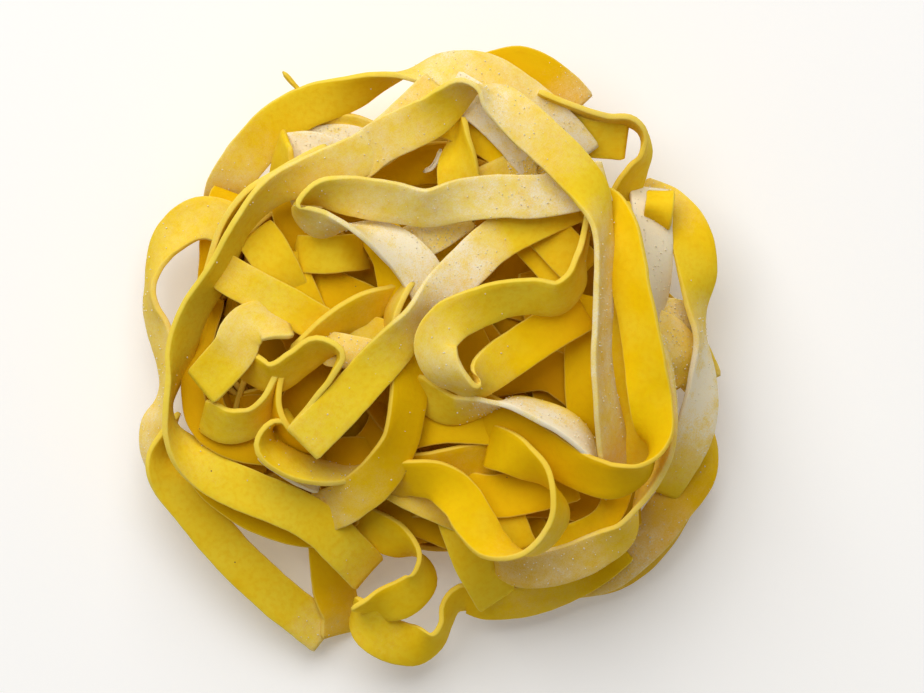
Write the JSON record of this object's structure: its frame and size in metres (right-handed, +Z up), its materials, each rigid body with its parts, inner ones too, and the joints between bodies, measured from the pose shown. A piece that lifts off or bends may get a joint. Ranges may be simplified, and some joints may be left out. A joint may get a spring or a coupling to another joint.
{
  "type": "dry pasta nest",
  "caption": "Round nest of long flat egg pasta ribbons, coiled and crossed loosely by hand, dusted with flour.",
  "frame": {"origin": "middle of the nest's outline, on the surface it rests on", "axes": "+Z up out of the nest, +Y towards the back, where the broad crown strand crosses, +X towards the right"},
  "size_m": [0.0936, 0.0996, 0.0386],
  "materials": {
    "egg_pasta": "matt, dusted with flour"
  },
  "bodies": {
    "root": {"pasta_nest": "egg_pasta"}
  },
  "joints": []
}
